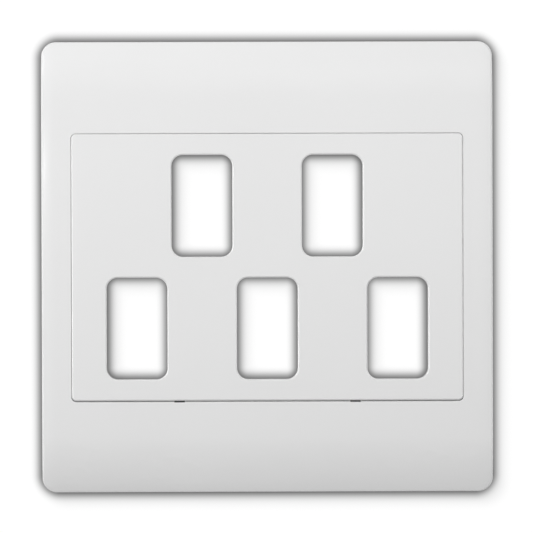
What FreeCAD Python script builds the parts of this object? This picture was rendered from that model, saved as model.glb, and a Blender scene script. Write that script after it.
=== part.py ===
import FreeCAD, Part
import math
import os
import Sketcher

# Grid switch plate: a moulded surround, a snap-in fascia with five apertures and four fixing screws.
# X runs to the right, Z up, the front faces -Y and the wall is the plane Y = 0.
# A level is a distance in front of the wall plane.

doc = FreeCAD.newDocument("grid_switch_plate")

# Driving sizes in millimetres: name, value, what it measures
driving = [
    ("apertureWide", "19.7", "aperture, left to right"),
    ("apertureTall", "33", "aperture, bottom to top"),
    ("apertureCorner", "3.7", "aperture corner radius"),
    ("columnWeb", "22.5", "web between two apertures of a row"),
    ("rowWeb", "6.7", "web between the two rows"),
    ("fieldSide", "11.25", "apertures to the fascia's left and right edges"),
    ("fieldEnd", "6.8", "apertures to the fascia's top and bottom edges"),
    ("fasciaThick", "2.25", "fascia panel thickness"),
    ("fasciaProud", "0.25", "fascia in front of the border"),
    ("fasciaCorner", "1.5", "fascia corner radius"),
    ("seamGap", "0.1", "gap beside and above the fascia"),
    ("lowerGap", "0.38", "gap below the fascia"),
    ("seamRound", "0.3", "rounding of the window's front edge"),
    ("rimBevel", "0.4", "bevel of the fascia's front edges"),
    ("borderSide", "9.7", "fascia to the plate's left and right edges"),
    ("borderEnd", "29.85", "fascia to the plate's top and bottom edges"),
    ("plateDeep", "10", "wall to the front face"),
    ("plateCorner", "4.7", "plate corner radius"),
    ("browTall", "17.6", "height of the curved strip at the top and bottom"),
    ("browDrop", "4.2", "how far that strip falls back at the edge"),
    ("cheekWide", "4.3", "width of the crowned strip at each side"),
    ("cheekDrop", "0.35", "how far that strip falls back at the edge"),
    ("edgeRound", "0.9", "rounding of the front outer edge"),
    ("shellWall", "2.2", "wall of the surround"),
    ("ledgeWide", "1.6", "ledge that the fascia rests on"),
    ("wellWall", "2", "wall round the fascia's well"),
    ("wellDeep", "6", "front face to the floor of the well"),
    ("floorThick", "2.4", "floor of the well"),
    ("bayPlay", "0.75", "room round the collars in the bay for the modules"),
    ("collarWall", "1.2", "wall of the collar behind each aperture"),
    ("collarDeep", "3", "collar behind the panel"),
    ("skirtWall", "1.2", "wall of the locating skirt behind the panel"),
    ("skirtDeep", "1.3", "skirt behind the panel"),
    ("skirtPlay", "0.2", "room between skirt and well"),
    ("spineThick", "1.2", "stiffening spine between the rows"),
    ("spineDeep", "2", "spine behind the panel"),
    ("hookPitch", "40", "spacing of the snap hooks"),
    ("hookWide", "6", "snap hook, left to right"),
    ("hookThick", "1.35", "tongue of a snap hook"),
    ("hookReach", "2.8", "panel back to the catch face of a hook"),
    ("hookNose", "2", "catch face to the tip of a hook"),
    ("barbProud", "0.75", "barb beyond the tongue"),
    ("snapPlay", "0.1", "room in front of a seated barb"),
    ("hookPlay", "0.4", "room round a hook in its catch slot"),
    ("pryPitch", "57", "spacing of the two lever slots"),
    ("pryWide", "3.4", "lever slot, left to right"),
    ("pryMouth", "0.2", "notch of a lever slot in the lower border"),
    ("pryUnder", "0.4", "lever slot behind the lower border"),
    ("pryWall", "0.6", "wall between a lever slot and the well"),
    ("screwInset", "3", "fascia's side edges to the box screw centres"),
    ("screwPitchTall", "60.3", "box screw centres, bottom to top"),
    ("screwLong", "25", "screw under its head"),
    ("threadRadius", "1.75", "screw thread, outside"),
    ("neckRadius", "1.45", "plain neck under the head"),
    ("tipTaper", "0.6", "taper at the screw's end"),
    ("headRadius", "3", "screw head"),
    ("headTall", "2.1", "screw head height"),
    ("headBevel", "0.9", "bevel of the screw head"),
    ("headPlay", "0.3", "room round a screw head"),
    ("slotWide", "0.8", "driver slot width"),
    ("slotDeep", "1", "driver slot depth"),
    ("screwHole", "2.1", "radius of the hole for a screw"),
    ("bossRadius", "4.4", "boss behind each screw hole"),
    ("bossGap", "0.4", "bosses to the wall"),
    ("ribThick", "1.4", "stiffening rib behind the curved strips"),
    ("ribPitch", "70", "spacing of the ribs"),
    ("ribGap", "1.5", "ribs to the wall"),
]

# Sizes worked out from the driving ones
worked = [
    ("columnPitch", "=sizes.apertureWide + sizes.columnWeb"),
    ("rowPitch", "=sizes.apertureTall + sizes.rowWeb"),
    ("fasciaWide", "=2 * columnPitch + sizes.apertureWide + 2 * sizes.fieldSide"),
    ("fasciaTall", "=rowPitch + sizes.apertureTall + 2 * sizes.fieldEnd"),
    ("plateWide", "=fasciaWide + 2 * sizes.borderSide"),
    ("plateTall", "=fasciaTall + 2 * sizes.borderEnd"),
    ("stockDeep", "=sizes.plateDeep + sizes.browDrop"),
    ("browFlat", "=plateTall / 2 - sizes.browTall"),
    ("browRadius", "=(sizes.browTall ^ 2 + sizes.browDrop ^ 2) / (2 * sizes.browDrop)"),
    ("browEnd", "=plateTall / 2 + sizes.edgeRound"),
    ("browEndLevel", "=sizes.plateDeep - browRadius + sqrt(browRadius ^ 2 - (browEnd - browFlat) ^ 2)"),
    ("cheekFlat", "=plateWide / 2 - sizes.cheekWide"),
    ("cheekRadius", "=(sizes.cheekWide ^ 2 + sizes.cheekDrop ^ 2) / (2 * sizes.cheekDrop)"),
    ("cheekEnd", "=plateWide / 2 + sizes.edgeRound"),
    ("cheekEndLevel", "=sizes.plateDeep - cheekRadius + sqrt(cheekRadius ^ 2 - (cheekEnd - cheekFlat) ^ 2)"),
    ("crownFront", "=stockDeep + sizes.browDrop + sizes.shellWall"),
    ("cavityWide", "=plateWide - 2 * sizes.shellWall"),
    ("cavityHalf", "=plateTall / 2 - sizes.shellWall"),
    ("cavityCorner", "=sizes.plateCorner - sizes.shellWall"),
    ("cavityRadius", "=browRadius - sizes.shellWall"),
    ("ceiling", "=sizes.plateDeep - sizes.shellWall"),
    ("cavityEnd", "=sizes.plateDeep - browRadius + sqrt(cavityRadius ^ 2 - (cavityHalf - browFlat) ^ 2)"),
    ("windowWide", "=fasciaWide + 2 * sizes.seamGap"),
    ("windowTall", "=fasciaTall + sizes.seamGap + sizes.lowerGap"),
    ("windowDrop", "=(sizes.lowerGap - sizes.seamGap) / 2"),
    ("windowCorner", "=sizes.fasciaCorner + sizes.seamGap"),
    ("wellWide", "=windowWide - 2 * sizes.ledgeWide"),
    ("wellTall", "=fasciaTall + 2 * (sizes.seamGap - sizes.ledgeWide)"),
    ("blockWide", "=windowWide + 2 * sizes.wellWall"),
    ("blockTall", "=fasciaTall + 2 * (sizes.lowerGap + sizes.wellWall)"),
    ("blockCorner", "=windowCorner + sizes.wellWall"),
    ("fasciaFront", "=sizes.plateDeep + sizes.fasciaProud"),
    ("ledgeLevel", "=fasciaFront - sizes.fasciaThick"),
    ("floorLevel", "=sizes.plateDeep - sizes.wellDeep"),
    ("floorBack", "=floorLevel - sizes.floorThick"),
    ("blockDeep", "=sizes.plateDeep - sizes.shellWall / 2 - floorBack"),
    ("collarWide", "=sizes.apertureWide + 2 * sizes.collarWall"),
    ("collarTall", "=sizes.apertureTall + 2 * sizes.collarWall"),
    ("collarCorner", "=sizes.apertureCorner + sizes.collarWall"),
    ("bayWide", "=2 * columnPitch + collarWide + 2 * sizes.bayPlay"),
    ("bayTall", "=rowPitch + collarTall + 2 * sizes.bayPlay"),
    ("skirtWide", "=wellWide - 2 * sizes.skirtPlay"),
    ("skirtTall", "=wellTall - 2 * sizes.skirtPlay"),
    ("skirtBoreWide", "=skirtWide - 2 * sizes.skirtWall"),
    ("skirtBoreTall", "=skirtTall - 2 * sizes.skirtWall"),
    ("skirtCorner", "=windowCorner - sizes.skirtPlay"),
    ("spineHalfWide", "=(skirtWide - sizes.skirtWall) / 2"),
    ("spineHalf", "=sizes.spineThick / 2"),
    ("hookRoot", "=fasciaFront - sizes.fasciaThick / 2"),
    ("hookOuter", "=skirtTall / 2"),
    ("hookInner", "=hookOuter - sizes.hookThick"),
    ("barbOuter", "=hookOuter + sizes.barbProud"),
    ("noseOuter", "=hookOuter - sizes.hookThick / 3"),
    ("catchLevel", "=ledgeLevel - sizes.hookReach"),
    ("hookTip", "=catchLevel - sizes.hookNose"),
    ("catchDeep", "=catchLevel + sizes.snapPlay"),
    ("catchOuter", "=barbOuter + sizes.hookPlay"),
    ("catchInner", "=hookInner - sizes.hookPlay"),
    ("catchHalf", "=sizes.hookWide / 2 + sizes.hookPlay"),
    ("pryHalf", "=sizes.pryWide / 2"),
    ("pryOuter", "=fasciaTall / 2 + sizes.lowerGap + sizes.pryUnder"),
    ("mouthOuter", "=fasciaTall / 2 + sizes.lowerGap + sizes.pryMouth"),
    ("pryInner", "=wellTall / 2 + sizes.pryWall"),
    ("screwHalfWide", "=fasciaWide / 2 - sizes.screwInset"),
    ("screwHalfTall", "=sizes.screwPitchTall / 2"),
    ("headLevel", "=floorLevel + sizes.headTall"),
    ("headShoulder", "=headLevel - sizes.headBevel"),
    ("headFlat", "=sizes.headRadius - sizes.headBevel"),
    ("headRoom", "=sizes.headRadius + sizes.headPlay"),
    ("screwTip", "=sizes.screwLong - floorLevel"),
    ("tipStart", "=screwTip - sizes.tipTaper"),
    ("tipRadius", "=sizes.threadRadius - sizes.tipTaper"),
    ("slotHalf", "=sizes.slotWide / 2"),
    ("slotReach", "=sizes.headRadius + sizes.slotWide"),
    ("bossDeep", "=floorLevel - sizes.floorThick / 2 - sizes.bossGap"),
    ("ribStart", "=(blockTall - sizes.wellWall) / 2"),
    ("ribEnd", "=(plateTall - sizes.shellWall) / 2"),
    ("ribTop", "=sizes.plateDeep - sizes.shellWall / 2"),
    ("ribRadius", "=browRadius - sizes.shellWall / 2"),
    ("ribEndLevel", "=sizes.plateDeep - browRadius + sqrt(ribRadius ^ 2 - (ribEnd - browFlat) ^ 2)"),
]

hook_count = 3
rib_count = 2
lever_slot_count = 2
top_row_count = 2
bottom_row_count = 3

# Two lengths nearer than this are the same
tolerance = 0.01

sizes = doc.addObject("Spreadsheet::Sheet", "sizes")
for row, (alias, text, meaning) in enumerate(driving, start=1):
    sizes.set("A%d" % row, meaning)
    sizes.set("B%d" % row, text)
    sizes.setAlias("B%d" % row, alias)

derived = doc.addObject("Spreadsheet::Sheet", "derived")
for row, (alias, formula) in enumerate(worked, start=1):
    derived.set("A%d" % row, alias)
    derived.set("B%d" % row, formula)
    derived.setAlias("B%d" % row, alias)
doc.recompute()

driving_names = [alias for alias, text, meaning in driving]


def cell(alias):
    """The expression that reads a named size."""
    sheet = "sizes" if alias in driving_names else "derived"
    return sheet + "." + alias


def number(name):
    """A named size as a number; a leading minus turns its sign, and 0 is the axis itself."""
    if name == "0":
        return 0.0
    alias = name.lstrip("-")
    sheet = sizes if alias in driving_names else derived
    value = float(sheet.get(alias))
    return -value if name.startswith("-") else value


def origin_feature(body, role):
    """One of the body's own planes or axes."""
    return next(item for item in body.Origin.OriginFeatures if item.Role == role)


def new_sketch(body, name, plane, **offsets):
    """A sketch on one of the body's planes, moved along its own axes by bound offsets."""
    sketch = body.newObject("Sketcher::SketchObject", name)
    sketch.AttachmentSupport = [(origin_feature(body, plane), "")]
    sketch.MapMode = "FlatFace"
    for axis, expression in offsets.items():
        sketch.setExpression("AttachmentOffset.Base." + axis, expression)
    return sketch


def constrain(sketch, kind, *places, size=None):
    """A constraint, bound to a named size where it has one."""
    if size is None:
        sketch.addConstraint(Sketcher.Constraint(kind, *places))
        return
    index = sketch.addConstraint(Sketcher.Constraint(kind, *places, number(size)))
    sketch.setExpression("Constraints[%d]" % index, cell(size))


def pin(sketch, curve, end, across, up):
    """Hold a point at two named distances from the sketch's origin."""
    for kind, axis, name in (("DistanceX", -2, across), ("DistanceY", -1, up)):
        if name == "0":
            constrain(sketch, "PointOnObject", curve, end, axis)
        elif name.startswith("-"):
            constrain(sketch, kind, curve, end, -1, 1, size=name[1:])
        else:
            constrain(sketch, kind, -1, 1, curve, end, size=name)


def arc_between(first, last, radius, turn):
    """An arc from first to last; turn is 1 anticlockwise and -1 clockwise."""
    chord = last - first
    left = FreeCAD.Vector(-chord.y, chord.x, 0).normalize()
    rise = math.sqrt(radius ** 2 - chord.Length ** 2 / 4)
    centre = (first + last) / 2 + left * rise * turn
    angles = [math.atan2((p - centre).y, (p - centre).x) for p in (first, last)]
    circle = Part.Circle(centre, FreeCAD.Vector(0, 0, 1), radius)
    return Part.ArcOfCircle(circle, *angles[::turn])


def draw_outline(sketch, corners, arcs=None, closed=True):
    """Lines through pinned corners. arcs gives the radius of an edge, with a minus for a clockwise one."""
    arcs = arcs or {}
    points = [FreeCAD.Vector(number(across), number(up), 0) for across, up in corners]
    edges = len(points) if closed else len(points) - 1
    first_end = []
    curves = []
    for edge in range(edges):
        ends = points[edge], points[(edge + 1) % len(points)]
        radius = number(arcs.get(edge, "0"))
        turn = -1 if radius < 0 else 1
        curve = arc_between(*ends, abs(radius), turn) if radius else Part.LineSegment(*ends)
        curves.append(sketch.addGeometry(curve))
        first_end.append(1 if turn > 0 else 2)
        if radius:
            constrain(sketch, "Radius", curves[-1], size=arcs[edge].lstrip("-"))
    for edge in range(edges):
        pin(sketch, curves[edge], first_end[edge], *corners[edge])
        if closed or edge < edges - 1:
            follower = (edge + 1) % edges
            ends = curves[edge], 3 - first_end[edge], curves[follower], first_end[follower]
            constrain(sketch, "Coincident", *ends)
    if not closed:
        pin(sketch, curves[-1], 3 - first_end[-1], *corners[-1])


def draw_rounded(sketch, wide, tall, corner):
    """A rectangle with round corners, centred on the sketch's origin."""
    half_wide = number(wide) / 2
    half_tall = number(tall) / 2
    radius = number(corner)
    quarter = math.pi / 2
    arcs = []
    for step, (right, up) in enumerate(((1, 1), (-1, 1), (-1, -1), (1, -1))):
        centre = FreeCAD.Vector(right * (half_wide - radius), up * (half_tall - radius), 0)
        circle = Part.Circle(centre, FreeCAD.Vector(0, 0, 1), radius)
        arc = Part.ArcOfCircle(circle, step * quarter, (step + 1) * quarter)
        arcs.append(sketch.addGeometry(arc))
    sides = []
    for step, arc in enumerate(arcs):
        following = arcs[(step + 1) % 4]
        start = sketch.getPoint(arc, 2)
        side = sketch.addGeometry(Part.LineSegment(start, sketch.getPoint(following, 1)))
        constrain(sketch, "Tangent", arc, 2, side, 1)
        constrain(sketch, "Tangent", side, 2, following, 1)
        constrain(sketch, "Horizontal" if step % 2 == 0 else "Vertical", side)
        sides.append(side)
    for arc in arcs[1:]:
        constrain(sketch, "Equal", arcs[0], arc)
    constrain(sketch, "Radius", arcs[0], size=corner)
    constrain(sketch, "DistanceX", sides[1], 1, sides[3], 1, size=wide)
    constrain(sketch, "DistanceY", sides[2], 1, sides[0], 1, size=tall)
    constrain(sketch, "Symmetric", arcs[0], 3, arcs[2], 3, -1, 1)


def draw_screw_circles(sketch, radius):
    """A circle on each of the four screw centres."""
    for across in ("screwHalfWide", "-screwHalfWide"):
        for up in ("screwHalfTall", "-screwHalfTall"):
            centre = FreeCAD.Vector(number(across), number(up), 0)
            circle = sketch.addGeometry(Part.Circle(centre, FreeCAD.Vector(0, 0, 1), number(radius)))
            pin(sketch, circle, 3, across, up)
            constrain(sketch, "Radius", circle, size=radius)


def extrude(body, kind, name, sketch, length=None, forward=True, symmetric=False):
    """A Pad or Pocket of a sketch. Forward is along the sketch's normal; no length goes right through."""
    before = body.Tip.Shape.Volume if kind == "Pocket" else 0.0
    feature = body.newObject("PartDesign::" + kind, name)
    feature.Profile = sketch
    feature.Reversed = forward if kind == "Pocket" else not forward
    if symmetric:
        feature.SideType = "Symmetric"
    if length is None:
        feature.Type = "ThroughAll"
    else:
        feature.setExpression("Length", cell(length))
    doc.recompute()
    if kind == "Pocket" and feature.Shape.Volume > before - tolerance:
        raise RuntimeError(name + " cuts nothing")
    return feature


def repeat_along_x(body, name, feature, spacing, count):
    """A row of copies of a feature, to the right of it."""
    row = body.newObject("PartDesign::LinearPattern", name)
    row.Originals = [feature]
    row.Direction = (origin_feature(body, "X_Axis"), [""])
    row.Mode = "Spacing"
    row.setExpression("Offset", cell(spacing))
    row.Occurrences = count
    body.Tip = row
    doc.recompute()
    return row


def edge_names(shape, test):
    """The edges whose sampled points all pass a test."""
    names = []
    for index, edge in enumerate(shape.Edges, start=1):
        if all(test(point) for point in edge.discretize(Number=7)):
            names.append("Edge%d" % index)
    return names


def dress_edges(body, kind, name, size, test):
    """A Fillet or Chamfer on the edges that pass a test."""
    base = body.Tip
    names = edge_names(base.Shape, test)
    if not names:
        raise RuntimeError(name + " finds no edge")
    dressed = body.newObject("PartDesign::" + kind, name)
    dressed.Base = (base, names)
    dressed.setExpression("Radius" if kind == "Fillet" else "Size", cell(size))
    doc.recompute()
    return dressed


def near(value, target):
    """Equal within the tolerance."""
    return abs(value - target) < tolerance


def outline_distance(point, wide, tall, corner):
    """Signed distance from a rounded rectangle, negative inside."""
    radius = number(corner)
    across = abs(point.x) - number(wide) / 2 + radius
    up = abs(point.z) - number(tall) / 2 + radius
    return math.hypot(max(across, 0), max(up, 0)) + min(max(across, up), 0) - radius


def on_front(point):
    """A point of the border's flat front face."""
    return near(point.y, -number("plateDeep"))


# The surround: an outline block whose front is planed off by a crowned profile carried along the brow line
surround = doc.addObject("PartDesign::Body", "surround")

sketch = new_sketch(surround, "plate_outline", "XZ_Plane")
draw_rounded(sketch, "plateWide", "plateTall", "plateCorner")
extrude(surround, "Pad", "plate_block", sketch, "stockDeep")

brow_line = new_sketch(surround, "brow_line", "YZ_Plane")
brow_corners = [
    ("-browEndLevel", "-browEnd"),
    ("-plateDeep", "-browFlat"),
    ("-plateDeep", "browFlat"),
    ("-browEndLevel", "browEnd"),
]
draw_outline(brow_line, brow_corners, {0: "-browRadius", 2: "-browRadius"}, closed=False)

crown_profile = new_sketch(surround, "crown_profile", "XY_Plane")
crown_corners = [
    ("-cheekEnd", "-cheekEndLevel"),
    ("-cheekFlat", "-plateDeep"),
    ("cheekFlat", "-plateDeep"),
    ("cheekEnd", "-cheekEndLevel"),
    ("cheekEnd", "-crownFront"),
    ("-cheekEnd", "-crownFront"),
]
draw_outline(crown_profile, crown_corners, {0: "cheekRadius", 2: "cheekRadius"})

crown = surround.newObject("PartDesign::SubtractivePipe", "front_crown")
crown.Profile = crown_profile
crown.Spine = (brow_line, ["Edge1", "Edge2", "Edge3"])
crown.Mode = "Fixed"
doc.recompute()


def on_front_rim(point):
    """A point where the plate's side meets its front."""
    gap = outline_distance(point, "plateWide", "plateTall", "plateCorner")
    lowest = number("plateDeep") - number("browDrop") - number("cheekDrop") - tolerance
    return near(gap, 0) and -point.y > lowest


dress_edges(surround, "Fillet", "front_edge", "edgeRound", on_front_rim)

# The hollow back, with the ceiling following the brows
sketch = new_sketch(surround, "cavity_section", "YZ_Plane")
cavity_corners = [
    ("shellWall", "-cavityHalf"),
    ("-cavityEnd", "-cavityHalf"),
    ("-ceiling", "-browFlat"),
    ("-ceiling", "browFlat"),
    ("-cavityEnd", "cavityHalf"),
    ("shellWall", "cavityHalf"),
]
draw_outline(sketch, cavity_corners, {1: "-cavityRadius", 3: "-cavityRadius"})
extrude(surround, "Pocket", "back_cavity", sketch, "cavityWide", symmetric=True)


def on_cavity_corner(point):
    """A point of one of the four upright inner corners."""
    across = near(abs(point.x), number("cavityWide") / 2)
    return across and near(abs(point.z), number("cavityHalf"))


dress_edges(surround, "Fillet", "cavity_corners", "cavityCorner", on_cavity_corner)

# Stiffening ribs from the well to the top and bottom walls
sketch = new_sketch(surround, "rib_section", "YZ_Plane", z="-sizes.ribPitch / 2")
for side, turn in (("", ""), ("-", "-")):
    rib_corners = [
        ("-ribGap", side + "ribStart"),
        ("-ribGap", side + "ribEnd"),
        ("-ribEndLevel", side + "ribEnd"),
        ("-ribTop", side + "browFlat"),
        ("-ribTop", side + "ribStart"),
    ]
    draw_outline(sketch, rib_corners, {2: turn + "ribRadius"})
rib = extrude(surround, "Pad", "rib", sketch, "ribThick", symmetric=True)
repeat_along_x(surround, "ribs", rib, "ribPitch", rib_count)

# The well that takes the fascia: a block behind the front, then window, ledge, floor and bay
sketch = new_sketch(surround, "well_outline", "XZ_Plane", z="derived.floorBack")
draw_rounded(sketch, "blockWide", "blockTall", "blockCorner")
extrude(surround, "Pad", "well_block", sketch, "blockDeep")

window_place = {"y": "-derived.windowDrop", "z": "derived.ledgeLevel"}
sketch = new_sketch(surround, "window_outline", "XZ_Plane", **window_place)
draw_rounded(sketch, "windowWide", "windowTall", "windowCorner")
extrude(surround, "Pocket", "window", sketch, "fasciaThick")


def on_window_edge(point):
    """A point of the window's front edge."""
    raised = point + FreeCAD.Vector(0, 0, number("windowDrop"))
    gap = outline_distance(raised, "windowWide", "windowTall", "windowCorner")
    return on_front(point) and near(gap, 0)


dress_edges(surround, "Fillet", "window_edge", "seamRound", on_window_edge)

sketch = new_sketch(surround, "well_inside", "XZ_Plane", z="derived.floorLevel")
draw_rounded(sketch, "wellWide", "wellTall", "windowCorner")
extrude(surround, "Pocket", "well", sketch)

sketch = new_sketch(surround, "bay_outline", "XZ_Plane")
draw_rounded(sketch, "bayWide", "bayTall", "collarCorner")
extrude(surround, "Pocket", "bay", sketch)

# Screw places: bosses behind the floor, room for the heads, and holes
sketch = new_sketch(surround, "boss_circles", "XZ_Plane", z="sizes.bossGap")
draw_screw_circles(sketch, "bossRadius")
extrude(surround, "Pad", "bosses", sketch, "bossDeep")

sketch = new_sketch(surround, "head_circles", "XZ_Plane", z="derived.floorLevel")
draw_screw_circles(sketch, "headRoom")
extrude(surround, "Pocket", "head_rooms", sketch, "headTall")

sketch = new_sketch(surround, "hole_circles", "XZ_Plane")
draw_screw_circles(sketch, "screwHole")
extrude(surround, "Pocket", "screw_holes", sketch, "floorLevel")

# Catch slots for the snap hooks, and the two lever slots through the lower ledge
sketch = new_sketch(surround, "catch_section", "XZ_Plane", x="-sizes.hookPitch")
for side in ("", "-"):
    catch_corners = [
        ("-catchHalf", side + "catchInner"),
        ("catchHalf", side + "catchInner"),
        ("catchHalf", side + "catchOuter"),
        ("-catchHalf", side + "catchOuter"),
    ]
    draw_outline(sketch, catch_corners)
catch = extrude(surround, "Pocket", "catch_slot", sketch, "catchDeep")
repeat_along_x(surround, "catch_slots", catch, "hookPitch", hook_count)

sketch = new_sketch(surround, "pry_section", "XZ_Plane", x="-sizes.pryPitch / 2")
pry_corners = [
    ("-pryHalf", "-pryOuter"),
    ("pryHalf", "-pryOuter"),
    ("pryHalf", "-pryInner"),
    ("-pryHalf", "-pryInner"),
]
draw_outline(sketch, pry_corners)
pry = extrude(surround, "Pocket", "lever_slot", sketch, "ledgeLevel")
repeat_along_x(surround, "lever_slots", pry, "pryPitch", lever_slot_count)

mouth_place = {"x": "-sizes.pryPitch / 2", "z": "derived.ledgeLevel"}
sketch = new_sketch(surround, "mouth_section", "XZ_Plane", **mouth_place)
mouth_corners = [
    ("-pryHalf", "-mouthOuter"),
    ("pryHalf", "-mouthOuter"),
    ("pryHalf", "-pryInner"),
    ("-pryHalf", "-pryInner"),
]
draw_outline(sketch, mouth_corners)
mouth = extrude(surround, "Pocket", "lever_mouth", sketch, "fasciaThick")
repeat_along_x(surround, "lever_mouths", mouth, "pryPitch", lever_slot_count)

# The fascia: panel, collars and apertures, locating skirt, spine and snap hooks
fascia = doc.addObject("PartDesign::Body", "fascia")

sketch = new_sketch(fascia, "panel_outline", "XZ_Plane", z="derived.ledgeLevel")
draw_rounded(sketch, "fasciaWide", "fasciaTall", "fasciaCorner")
extrude(fascia, "Pad", "panel", sketch, "fasciaThick")

sketch = new_sketch(fascia, "skirt_section", "XZ_Plane", z="derived.ledgeLevel")
draw_rounded(sketch, "skirtWide", "skirtTall", "skirtCorner")
draw_rounded(sketch, "skirtBoreWide", "skirtBoreTall", "skirtCorner")
extrude(fascia, "Pad", "skirt", sketch, "skirtDeep", forward=False)

sketch = new_sketch(fascia, "spine_section", "XZ_Plane", z="derived.ledgeLevel")
spine_corners = [
    ("-spineHalfWide", "-spineHalf"),
    ("spineHalfWide", "-spineHalf"),
    ("spineHalfWide", "spineHalf"),
    ("-spineHalfWide", "spineHalf"),
]
draw_outline(sketch, spine_corners)
extrude(fascia, "Pad", "spine", sketch, "spineDeep", forward=False)

rows = [
    ("top", top_row_count, "derived.rowPitch / 2"),
    ("bottom", bottom_row_count, "-derived.rowPitch / 2"),
]
for name, count, height in rows:
    place = {"x": "-derived.columnPitch * %g" % ((count - 1) / 2), "y": height, "z": "derived.ledgeLevel"}
    sketch = new_sketch(fascia, name + "_collar_outline", "XZ_Plane", **place)
    draw_rounded(sketch, "collarWide", "collarTall", "collarCorner")
    collar = extrude(fascia, "Pad", name + "_collar", sketch, "collarDeep", forward=False)
    repeat_along_x(fascia, name + "_collars", collar, "columnPitch", count)
for name, count, height in rows:
    place = {"x": "-derived.columnPitch * %g" % ((count - 1) / 2), "y": height}
    sketch = new_sketch(fascia, name + "_aperture_outline", "XZ_Plane", **place)
    draw_rounded(sketch, "apertureWide", "apertureTall", "apertureCorner")
    aperture = extrude(fascia, "Pocket", name + "_aperture", sketch)
    repeat_along_x(fascia, name + "_apertures", aperture, "columnPitch", count)


def on_fascia_front(point):
    """A point of the fascia's front face."""
    return near(point.y, -number("fasciaFront"))


dress_edges(fascia, "Chamfer", "fascia_front_edges", "rimBevel", on_fascia_front)

sketch = new_sketch(fascia, "hook_section", "YZ_Plane", z="-sizes.hookPitch")
for side in ("", "-"):
    hook_corners = [
        ("-hookRoot", side + "hookInner"),
        ("-hookRoot", side + "hookOuter"),
        ("-catchLevel", side + "hookOuter"),
        ("-catchLevel", side + "barbOuter"),
        ("-hookTip", side + "noseOuter"),
        ("-hookTip", side + "hookInner"),
    ]
    draw_outline(sketch, hook_corners)
hook = extrude(fascia, "Pad", "hook", sketch, "hookWide", symmetric=True)
repeat_along_x(fascia, "hooks", hook, "hookPitch", hook_count)

# One fixing screw, turned about its own axis, and its three mirror copies
screw = doc.addObject("PartDesign::Body", "screw")
corner_place = {"x": "-derived.screwHalfWide", "z": "-derived.screwHalfTall"}
sketch = new_sketch(screw, "screw_section", "XY_Plane", **corner_place)
screw_corners = [
    ("0", "-headLevel"),
    ("headFlat", "-headLevel"),
    ("headRadius", "-headShoulder"),
    ("headRadius", "-floorLevel"),
    ("neckRadius", "-floorLevel"),
    ("neckRadius", "0"),
    ("threadRadius", "0"),
    ("threadRadius", "tipStart"),
    ("tipRadius", "screwTip"),
    ("0", "screwTip"),
]
draw_outline(sketch, screw_corners)
turned = screw.newObject("PartDesign::Revolution", "turned_screw")
turned.Profile = sketch
turned.ReferenceAxis = (sketch, ["V_Axis"])
turned.Angle = 360
doc.recompute()

slot_place = {"x": "-derived.screwHalfWide", "y": "-derived.screwHalfTall", "z": "derived.headLevel"}
sketch = new_sketch(screw, "slot_section", "XZ_Plane", **slot_place)
slot_corners = [
    ("-slotReach", "-slotHalf"),
    ("slotReach", "-slotHalf"),
    ("slotReach", "slotHalf"),
    ("-slotReach", "slotHalf"),
]
draw_outline(sketch, slot_corners)
extrude(screw, "Pocket", "driver_slot", sketch, "slotDeep", forward=False)


def mirror_copy(name, source, normal):
    """A copy of a shape on the other side of a plane through the origin."""
    copy = doc.addObject("Part::Mirroring", name)
    copy.Source = source
    copy.Base = FreeCAD.Vector(0, 0, 0)
    copy.Normal = normal
    return copy


right_screw = mirror_copy("right_screw", screw, FreeCAD.Vector(1, 0, 0))
upper_screw = mirror_copy("upper_screw", screw, FreeCAD.Vector(0, 0, 1))
far_screw = mirror_copy("far_screw", right_screw, FreeCAD.Vector(0, 0, 1))
fixing_screws = doc.addObject("Part::Compound", "fixing_screws")
fixing_screws.Links = [screw, right_screw, upper_screw, far_screw]

# Every feature has to be sound before the pieces are written
nodes = [(surround, "surround"), (fascia, "fascia"), (fixing_screws, "fixing_screws")]
for piece, label in nodes:
    piece.Label = label
    piece.Placement = FreeCAD.Placement()
doc.recompute()
failed = [item.Name for item in doc.Objects if {"Invalid", "Error"} & set(item.State)]
if failed:
    raise RuntimeError("failed: " + ", ".join(failed))
for piece, label in nodes:
    if piece.Shape.isNull() or not piece.Shape.isValid():
        raise RuntimeError(label + " is not a sound shape")

os.makedirs("parts", exist_ok=True)
for piece, label in nodes:
    piece.Shape.exportStep("parts/%s.step" % label)
    box = piece.Shape.BoundBox
    print(label, len(piece.Shape.Solids), "solids", round(piece.Shape.Volume, 1), "mm3", box)
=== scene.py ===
import math

import bpy
import numpy as np
from mathutils import Matrix, Vector


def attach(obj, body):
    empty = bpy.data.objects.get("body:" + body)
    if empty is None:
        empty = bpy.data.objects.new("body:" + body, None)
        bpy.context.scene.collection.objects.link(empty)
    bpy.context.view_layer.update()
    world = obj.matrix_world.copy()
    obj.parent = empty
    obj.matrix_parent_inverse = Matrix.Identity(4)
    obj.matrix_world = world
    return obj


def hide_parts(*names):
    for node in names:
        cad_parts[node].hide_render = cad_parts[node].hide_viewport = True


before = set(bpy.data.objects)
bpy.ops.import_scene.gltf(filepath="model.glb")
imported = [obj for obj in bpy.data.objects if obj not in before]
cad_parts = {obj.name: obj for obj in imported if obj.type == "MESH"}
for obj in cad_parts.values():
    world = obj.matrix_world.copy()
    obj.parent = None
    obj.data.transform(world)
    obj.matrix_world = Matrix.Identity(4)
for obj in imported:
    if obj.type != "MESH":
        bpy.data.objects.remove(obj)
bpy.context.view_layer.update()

mm = 0.001
print("frame loaded:", sorted(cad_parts))


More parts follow.
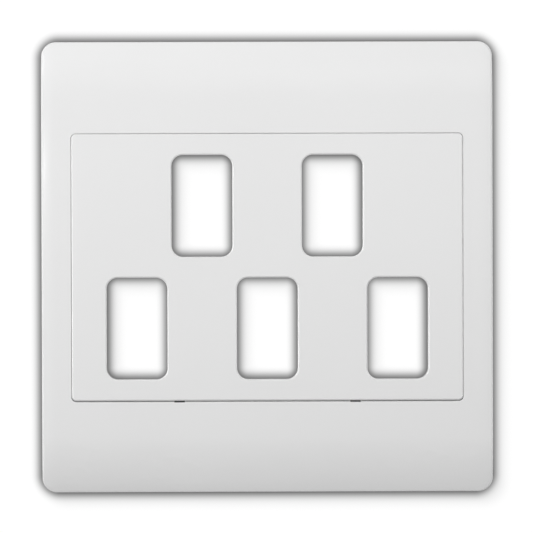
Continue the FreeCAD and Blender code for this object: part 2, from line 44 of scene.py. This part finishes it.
# nodes for a material or the world, made and joined by short names
class NodeTree:
    def __init__(self, owner):
        owner.use_nodes = True
        self.tree = owner.node_tree
        self.tree.nodes.clear()

    def add(self, kind, inputs=None, **settings):
        node = self.tree.nodes.new("ShaderNode" + kind)
        for name, value in settings.items():
            setattr(node, name, value)
        for socket, value in (inputs or {}).items():
            if isinstance(value, bpy.types.NodeSocket):
                self.tree.links.new(value, node.inputs[socket])
            else:
                node.inputs[socket].default_value = value
        return node

    def maths(self, operation, first, second):
        return self.add("Math", {0: first, 1: second}, operation=operation).outputs[0]

    def remap(self, value, low, high):
        return self.add("MapRange", {"Value": value, "To Min": low, "To Max": high}).outputs["Result"]

    def noise(self, place, scale, detail):
        return self.add("TexNoise", {"Vector": place, "Scale": scale, "Detail": detail}).outputs["Fac"]

    def blend(self, factor, first, second):
        inputs = {"Factor": factor, "A": first, "B": second}
        return self.add("Mix", inputs, data_type="RGBA").outputs["Result"]

    # 1 for camera, mirror and see-through rays, 0 for the rest
    def looking(self):
        path = self.add("LightPath").outputs
        seen = self.maths("MAXIMUM", path["Is Camera Ray"], path["Is Glossy Ray"])
        return self.maths("MAXIMUM", seen, path["Is Transmission Ray"])


def addObject(name, data):
    added = bpy.data.objects.new(name, data)
    bpy.context.scene.collection.objects.link(added)
    return added


# one field of a mesh's points, corners or faces as an array
def readAll(items, field, width, kind):
    values = np.empty(len(items) * width, kind)
    items.foreach_get(field, values)
    return values


# white moulded plastic: a faint cloud in the colour, slow waves, a satin that varies
# and the fine skin of a polished mould
whitePlastic = {
    "paleColour": (0.785, 0.785, 0.785, 1),
    "deepColour": (0.765, 0.765, 0.765, 1),
    "cloudScale": 28, "cloudDetail": 3,  # clouds a few centimetres across
    "waveScale": 55, "waveDetail": 1, "waveDepth": 0.02 * mm,
    "skinScale": 2600, "skinDetail": 2, "skinDepth": 0.004 * mm,  # skin of about 0.4 mm
    "smoothest": 0.17, "roughest": 0.23,
    "ior": 1.5,
}


def makePlastic(name, look):
    material = bpy.data.materials.new(name)
    nodes = NodeTree(material)
    place = nodes.add("TexCoord").outputs["Object"]
    cloud = nodes.noise(place, look["cloudScale"], look["cloudDetail"])
    skin = nodes.noise(place, look["skinScale"], look["skinDetail"])
    wave = nodes.noise(place, look["waveScale"], look["waveDetail"])
    slow = nodes.add("Bump", {"Height": wave, "Distance": look["waveDepth"]}).outputs[0]
    fine = nodes.add("Bump", {"Height": skin, "Distance": look["skinDepth"], "Normal": slow}).outputs[0]
    shader = nodes.add("BsdfPrincipled", {
        "Base Color": nodes.blend(cloud, look["deepColour"], look["paleColour"]),
        "Roughness": nodes.remap(skin, look["smoothest"], look["roughest"]),
        "Normal": fine,
        "IOR": look["ior"],
    })
    nodes.add("OutputMaterial", {"Surface": shader.outputs[0]})
    return material


plasticMaterial = makePlastic("whitePlastic", whitePlastic)
print("plastic mixed")


# the two mouldings: each is a copy of its solid with the loose corners welded,
# so that the curves shade smooth; faceLead is how far a wide face sets the normal at its rim
mouldings = {
    "surroundMoulding": {"solid": "surround", "sharpFrom": math.radians(28), "faceLead": 90},
    "fasciaMoulding": {"solid": "fascia", "sharpFrom": math.radians(28), "faceLead": 90},
}


def weldedCopy(name, plan):
    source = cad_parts[plan["solid"]].data
    loose = readAll(source.vertices, "co", 3, np.float32).reshape(-1, 3)
    order = readAll(source.loops, "vertex_index", 1, np.int32)
    points, index = np.unique(loose, axis=0, return_inverse=True)  # equal corners become one point
    mesh = bpy.data.meshes.new(name)
    mesh.from_pydata(points.tolist(), [], index.ravel()[order].reshape(-1, 3).tolist())
    mesh.validate()
    mesh.shade_smooth()
    mesh.set_sharp_from_angle(angle=plan["sharpFrom"])
    piece = addObject(name, mesh)
    lead = piece.modifiers.new("flatFacesLead", "WEIGHTED_NORMAL")
    lead.keep_sharp = True
    lead.weight = plan["faceLead"]
    return piece


for name, plan in mouldings.items():
    moulding = weldedCopy(name, plan)
    moulding.data.materials.append(plasticMaterial)
    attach(moulding, "root")
    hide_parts(plan["solid"])
    print(name, len(moulding.data.polygons), "faces")


# plated steel: bright, with a little tarnish that dulls it
platedSteel = {
    "brightColour": (0.62, 0.63, 0.65, 1),
    "dullColour": (0.47, 0.47, 0.46, 1),
    "tarnishScale": 420, "tarnishDetail": 4,
    "smoothest": 0.22, "roughest": 0.42,
}


def makeSteel(name, look):
    material = bpy.data.materials.new(name)
    nodes = NodeTree(material)
    place = nodes.add("TexCoord").outputs["Object"]
    tarnish = nodes.noise(place, look["tarnishScale"], look["tarnishDetail"])
    shader = nodes.add("BsdfPrincipled", {
        "Base Color": nodes.blend(tarnish, look["brightColour"], look["dullColour"]),
        "Roughness": nodes.remap(tarnish, look["smoothest"], look["roughest"]),
        "Metallic": 1.0,
    })
    nodes.add("OutputMaterial", {"Surface": shader.outputs[0]})
    return material


steelMaterial = makeSteel("platedSteel", platedSteel)

# the four box screws, in millimetres along their axis: cheese head with a slot, plain neck, cut thread
boxScrews = {
    "across": 60.3, "up": 30.15,
    "headTop": -6.1, "headUnder": -4, "headRadius": 3, "headBevel": 0.9,
    "slotWide": 0.8, "slotDeep": 1.0, "slotClear": 1.0,
    "neckRadius": 1.45, "threadStart": 0, "tip": 21, "tipTaper": 0.6,
    "threadRadius": 1.75, "rootRadius": 1.4, "pitch": 0.6,
    "crestHalf": 0.125, "flank": 0.25,  # shares of a pitch
    "around": 36, "rowsPerTurn": 8,
    "sharpFrom": math.radians(35),
}


# radius over angle and length: a flat-topped V wound once round for each pitch,
# faded in after the neck and cut by the tip's cone
def threadRadius(angle, length, screw):
    turn = np.mod(length / screw["pitch"] - angle / math.tau, 1)
    fromCrest = np.abs(turn - 0.5)
    ridge = np.clip((screw["crestHalf"] + screw["flank"] - fromCrest) / screw["flank"], 0, 1)
    fade = np.clip((length - screw["threadStart"]) / screw["pitch"], 0, 1)
    cut = screw["rootRadius"] + (screw["threadRadius"] - screw["rootRadius"]) * ridge
    blank = screw["threadRadius"] * (1 - fade) + cut * fade
    cone = screw["threadRadius"] - np.clip(length - (screw["tip"] - screw["tipTaper"]), 0, None)
    return np.minimum(blank, cone)


# one screw as rings about its axis: head profile, neck, then the thread
def screwRings(screw):
    around = screw["around"]
    angle = np.linspace(0, math.tau, around, endpoint=False)[None, :]
    head = np.array([
        (screw["headRadius"] - screw["headBevel"], screw["headTop"]),
        (screw["headRadius"], screw["headTop"] + screw["headBevel"]),
        (screw["headRadius"], screw["headUnder"]),
        (screw["neckRadius"], screw["headUnder"]),
        (screw["neckRadius"], screw["threadStart"]),
    ])
    rows = round((screw["tip"] - screw["threadStart"]) / screw["pitch"] * screw["rowsPerTurn"])
    length = np.linspace(screw["threadStart"], screw["tip"], rows + 1)[:, None] + 0 * angle
    radius = np.concatenate([np.repeat(head[:, :1], around, 1), threadRadius(angle, length, screw)])
    along = np.concatenate([np.repeat(head[:, 1:], around, 1), length])
    return np.stack([radius * np.cos(angle), along, radius * np.sin(angle)], -1) * mm


# a wall of quads from ring to ring, with a flat cap at each end
def meshOfRings(name, rings):
    rows, around = rings.shape[:2]
    grid = np.arange(rows * around).reshape(rows, around)
    after = np.roll(grid, -1, 1)
    quads = np.stack([grid[:-1], grid[1:], after[1:], after[:-1]], -1).reshape(-1, 4)
    caps = [grid[0].tolist(), grid[-1, ::-1].tolist()]
    mesh = bpy.data.meshes.new(name)
    mesh.from_pydata(rings.reshape(-1, 3).tolist(), [], quads.tolist() + caps)
    return mesh


# a box between two corners, in millimetres
def meshOfBox(name, low, high):
    pick = np.indices((2, 2, 2)).reshape(3, -1).T
    points = np.where(pick == 1, high, low) * mm
    faces = [(0, 1, 3, 2), (4, 6, 7, 5), (0, 4, 5, 1), (2, 3, 7, 6), (0, 2, 6, 4), (1, 5, 7, 3)]
    mesh = bpy.data.meshes.new(name)
    mesh.from_pydata(points.tolist(), [], faces)
    return mesh


def cutScrew(screw):
    reach = screw["headRadius"] + screw["slotWide"]
    halfSlot = screw["slotWide"] / 2
    low = (-reach, screw["headTop"] - screw["slotClear"], -halfSlot)
    high = (reach, screw["headTop"] + screw["slotDeep"], halfSlot)
    blank = addObject("screwBlank", meshOfRings("screwBlank", screwRings(screw)))
    blade = addObject("slotBlade", meshOfBox("slotBlade", low, high))
    cut = blank.modifiers.new("slot", "BOOLEAN")
    cut.object = blade
    cut.operation = "DIFFERENCE"
    cut.solver = "EXACT"
    graph = bpy.context.evaluated_depsgraph_get()
    mesh = bpy.data.meshes.new_from_object(blank.evaluated_get(graph))
    for tool in (blank, blade):
        bpy.data.objects.remove(tool)
    return mesh


# the cut screw's points, corners and faces as arrays, repeated at each of the four centres
def fourScrews(name, screw):
    one = cutScrew(screw)
    points = readAll(one.vertices, "co", 3, np.float32).reshape(1, -1, 3)
    corners = readAll(one.loops, "vertex_index", 1, np.int32)
    starts = readAll(one.polygons, "loop_start", 1, np.int32)
    signs = np.array([(x, 0, z) for x in (-1, 1) for z in (-1, 1)])
    centres = signs * (screw["across"], 0, screw["up"]) * mm
    copy = np.arange(len(centres), dtype=np.int32)[:, None]
    mesh = bpy.data.meshes.new(name)
    mesh.vertices.add(len(centres) * len(one.vertices))
    mesh.loops.add(len(centres) * len(corners))
    mesh.polygons.add(len(centres) * len(starts))
    mesh.vertices.foreach_set("co", (points + centres[:, None, :]).ravel())
    mesh.loops.foreach_set("vertex_index", (corners + copy * len(one.vertices)).ravel())
    mesh.polygons.foreach_set("loop_start", (starts + copy * len(corners)).ravel())
    mesh.update(calc_edges=True)
    mesh.shade_smooth()
    mesh.set_sharp_from_angle(angle=screw["sharpFrom"])
    return addObject(name, mesh)


screws = fourScrews("boxScrews", boxScrews)
screws.data.materials.append(steelMaterial)
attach(screws, "root")
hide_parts("fixing_screws")
print("screws cut:", len(screws.data.polygons), "faces")


# stage: a white sheet just behind the wall plane and a pale floor, both seen from their front side only
# the shade round the plate on this sheet is mostly painted from the plate's outline; only its faint paper
# part takes a real shadow from the lamps
wallSheet = {
    "behind": 0.4 * mm, "fineHalf": 92 * mm, "fineStep": 0.5 * mm, "reach": 2.5,
    "plate": {"half": (73.9 * mm, 73.9 * mm), "corner": 6.4 * mm},
    "aperture": {"half": (9.35 * mm, 16 * mm), "corner": 3.2 * mm},
    "columnPitch": 42.2 * mm, "rowPitch": 39.7 * mm,
    "apertures": [(-0.5, 0.5), (0.5, 0.5), (-1, -0.5), (0, -0.5), (1, -0.5)],  # in pitches
    # painted soft contact shade on the sheet: depth, blur and how far it slips down to the right
    "paintedShades": [(0.79, 1.4 * mm, -0.1 * mm), (0.1, 2.1 * mm, 2.6 * mm)],
    # painted light standing in for light that gets in behind through the apertures: its blur, the deepest
    # painted shade with it and without it, and how softly the painted shade levels off there
    "paintedSpill": {"blur": 4.5 * mm, "lit": 0.55, "unlit": 0.9, "knee": 0.1},
    "ownGlow": 0.97,
    "paper": (0.06, 0.06, 0.06, 1),
}

# the error function on whole arrays: one less a polynomial in t times a bell curve,
# with t one over one plus the rate times x
errorSeries = {
    "rate": 0.3275911,
    "powers": [1.061405429, -1.453152027, 1.421413741, -0.284496736, 0.254829592, 0],  # fifth power first
}


def errorFunction(x):
    t = 1 / (1 + errorSeries["rate"] * np.abs(x))
    return np.sign(x) * (1 - np.polyval(errorSeries["powers"], t) * np.exp(-x * x))


# light for a value shown on the screen: a straight toe, then a power
screenCurve = {"toe": 0.04045, "slope": 12.92, "lift": 0.055, "power": 2.4}


def lightOfShown(shown):
    straight = shown / screenCurve["slope"]
    curved = ((shown + screenCurve["lift"]) / (1 + screenCurve["lift"])) ** screenCurve["power"]
    return np.where(shown <= screenCurve["toe"], straight, curved)


# how far a blurred rounded rectangle covers each point:
# half of one less the error function of the distance from its rim
def softCover(x, z, centre, shape, blur):
    across = np.abs(x - centre[0]) - shape["half"][0] + shape["corner"]
    up = np.abs(z - centre[1]) - shape["half"][1] + shape["corner"]
    beyond = np.hypot(np.maximum(across, 0), np.maximum(up, 0))
    distance = beyond + np.minimum(np.maximum(across, up), 0) - shape["corner"]
    return (1 - errorFunction(distance / blur / math.sqrt(2))) / 2


# painted contact shade: the plate's blurred outline less its apertures, painted as a dimming of the sheet;
# near its deepest, a hyperbolic tangent levels it off
def paintedContactShade(x, z, sheet):
    middles = [(across * sheet["columnPitch"], up * sheet["rowPitch"]) for across, up in sheet["apertures"]]
    dim = np.zeros_like(x)
    for depth, blur, slip in sheet["paintedShades"]:
        cover = softCover(x - slip, z + slip, (0, 0), sheet["plate"], blur)
        for middle in middles:
            cover = cover - softCover(x - slip, z + slip, middle, sheet["aperture"], blur)
        dim = dim + depth * cover
    paintedSpill = sheet["paintedSpill"]
    # a cover of one half, at an aperture's rim, counts as full painted light
    light = 2 * sum(softCover(x, z, middle, sheet["aperture"], paintedSpill["blur"]) for middle in middles)
    deepest = paintedSpill["unlit"] + (paintedSpill["lit"] - paintedSpill["unlit"]) * np.clip(light, 0, 1)
    over = np.maximum(dim - deepest + paintedSpill["knee"], 0)
    dim = np.minimum(dim, deepest - paintedSpill["knee"]) + paintedSpill["knee"] * np.tanh(over / paintedSpill["knee"])
    return lightOfShown(np.clip(1 - dim, 0, 1))


def gridMesh(name, points):
    rows, columns = points.shape[:2]
    grid = np.arange(rows * columns).reshape(rows, columns)
    quads = np.stack([grid[:-1, :-1], grid[:-1, 1:], grid[1:, 1:], grid[1:, :-1]], -1).reshape(-1, 4)
    mesh = bpy.data.meshes.new(name)
    mesh.from_pydata(points.reshape(-1, 3).tolist(), [], quads.tolist())
    return mesh


# seen by camera, mirror and see-through rays that meet the front side; every other ray passes
def makeStagePaper(name, paper, glow, shade=None):
    material = bpy.data.materials.new(name)
    nodes = NodeTree(material)
    front = nodes.maths("SUBTRACT", 1.0, nodes.add("NewGeometry").outputs["Backfacing"])
    strength = glow
    # a painted shade, kept at the sheet's points, dims its glow
    if shade:
        kept = nodes.add("Attribute", attribute_name=shade).outputs["Fac"]
        strength = nodes.maths("MULTIPLY", kept, glow)
    shine = nodes.add("Emission", {"Color": (1, 1, 1, 1), "Strength": strength})
    matt = nodes.add("BsdfDiffuse", {"Color": paper})
    seen = nodes.add("AddShader", {0: shine.outputs[0], 1: matt.outputs[0]})
    clear = nodes.add("BsdfTransparent")
    shows = nodes.maths("MULTIPLY", nodes.looking(), front)
    mixed = nodes.add("MixShader", {0: shows, 1: clear.outputs[0], 2: seen.outputs[0]})
    nodes.add("OutputMaterial", {"Surface": mixed.outputs[0]})
    return material


# a grid that is fine round the plate and coarse beyond it, with the painted contact shade kept at its
# points
def makeWall(sheet):
    fine = np.arange(-sheet["fineHalf"], sheet["fineHalf"] + sheet["fineStep"] / 2, sheet["fineStep"])
    lines = np.concatenate([[-sheet["reach"]], fine, [sheet["reach"]]])
    x, z = np.meshgrid(lines, lines)
    mesh = gridMesh("wallSheet", np.stack([x, np.full_like(x, sheet["behind"]), z], -1))
    # the painted contact shade, worked out from the plate's outline, stored at each point of the sheet
    shade = mesh.attributes.new("paintedContactShade", "FLOAT", "POINT")
    shade.data.foreach_set("value", paintedContactShade(x, z, sheet).ravel().astype(np.float32))
    mesh.materials.append(makeStagePaper("wallPaper", sheet["paper"], sheet["ownGlow"], "paintedContactShade"))
    wall = addObject("wallSheet", mesh)


paleFloor = {"level": -0.7, "reach": 9, "paper": (0.3, 0.3, 0.3, 1), "ownGlow": 0.8}


def makeFloor(floor):
    lines = np.array([-floor["reach"], 0, floor["reach"]], float)
    x, y = np.meshgrid(lines, lines)
    mesh = gridMesh("paleFloor", np.stack([x, y, np.full_like(x, floor["level"])], -1))
    mesh.materials.append(makeStagePaper("floorPaper", floor["paper"], floor["ownGlow"]))
    plane = addObject("paleFloor", mesh)


makeWall(wallSheet)
makeFloor(paleFloor)
print("stage set")


# light: a soft key high on the left, three near fills in front, a low fill,
# a strip by each side, a highlight on the left edge and a back lamp
lamps = {
    "keyLamp": {
        "place": (-0.533, -0.682, 0.5), "aim": (0, 0, 0), "size": (0.4, 0.4), "power": 2.16,
    },
    "nearLamp": {
        "place": (-0.047, -0.298, 0.36), "aim": (0, 0, 0), "size": (0.5, 0.32), "power": 0.342,
    },
    "frontLamp": {
        "place": (-0.034, -0.39, 0.083), "aim": (0, 0, 0.05), "size": (0.5, 0.3), "power": 0.328,
    },
    "rightLamp": {
        "place": (0.179, -0.383, 0.154), "aim": (0, 0, 0.04), "size": (0.4, 0.3), "power": 0.166,
    },
    "lowLamp": {
        "place": (-0.318, -0.551, -0.636), "aim": (0, 0, 0), "size": (0.8, 0.8), "power": 0.38,
    },
    "leftStrip": {
        "place": (-0.6, -0.032, 0.06), "aim": (-0.073, -0.01, 0.03), "size": (0.06, 0.6), "power": 0.9,
    },
    "rightStrip": {
        "place": (0.6, -0.032, 0.1), "aim": (0.073, -0.01, 0.02), "size": (0.06, 0.6), "power": 0.4,
    },
    "edgeLamp": {
        "place": (-0.114, -0.15, 0.032), "aim": (-0.071, -0.01, 0.032),
        "size": (0.01, 0.014), "power": 0.007,
    },
    "backLamp": {
        "place": (0.3, 0.9, 0.4), "aim": (0, 0, 0), "size": (0.9, 0.9), "power": 4.0,
    },
}


def makeLamp(name, plan):
    data = bpy.data.lights.new(name, "AREA")
    data.shape = "RECTANGLE"
    data.size, data.size_y = plan["size"]
    data.energy = plan["power"]
    lamp = addObject(name, data)
    lamp.location = plan["place"]
    towards = Vector(plan["aim"]) - Vector(plan["place"])
    lamp.rotation_euler = towards.to_track_quat("-Z", "Y").to_euler()
    lamp.visible_camera = False


for name, plan in lamps.items():
    makeLamp(name, plan)

# the room is white to camera, mirror and see-through rays, and a dim even grey to the rest
studioRoom = {"ambient": 0.451, "backdrop": 1.0}


def makeRoom(room):
    world = bpy.data.worlds.new("studio")
    bpy.context.scene.world = world
    nodes = NodeTree(world)
    level = nodes.remap(nodes.looking(), room["ambient"], room["backdrop"])
    backdrop = nodes.add("Background", {"Color": (1, 1, 1, 1), "Strength": level})
    nodes.add("OutputWorld", {"Surface": backdrop.outputs[0]})


makeRoom(studioRoom)
bpy.context.scene.view_settings.view_transform = "Standard"
print("lamps lit:", ", ".join(lamps))


# camera: a long lens almost straight on, aimed at the middle of the front and leaning a sixth of a degree
viewPoint = {
    "aim": (-0.25 * mm, -10 * mm, 0.19 * mm), "distance": 1.5,
    "yaw": 0.522, "pitch": -0.872, "roll": -0.162,
    "lens": 313.3, "sensor": 36, "clip": (0.05, 20),
}


def makeCamera(plan):
    yaw, pitch, roll = (math.radians(plan[key]) for key in ("yaw", "pitch", "roll"))
    level = math.cos(pitch)
    ahead = Vector((math.sin(yaw) * level, math.cos(yaw) * level, math.sin(pitch)))
    side = Vector((math.cos(yaw), -math.sin(yaw), 0))
    up = side.cross(ahead)
    right = side * math.cos(roll) + up * math.sin(roll)
    top = up * math.cos(roll) - side * math.sin(roll)
    data = bpy.data.cameras.new("photoCamera")
    data.sensor_width = plan["sensor"]
    data.lens = plan["lens"]
    data.clip_start, data.clip_end = plan["clip"]
    camera = addObject("photoCamera", data)
    turn = Matrix((right, top, -ahead)).transposed().to_4x4()
    camera.matrix_world = Matrix.Translation(Vector(plan["aim"]) - ahead * plan["distance"]) @ turn
    bpy.context.scene.camera = camera


makeCamera(viewPoint)
print("camera placed")
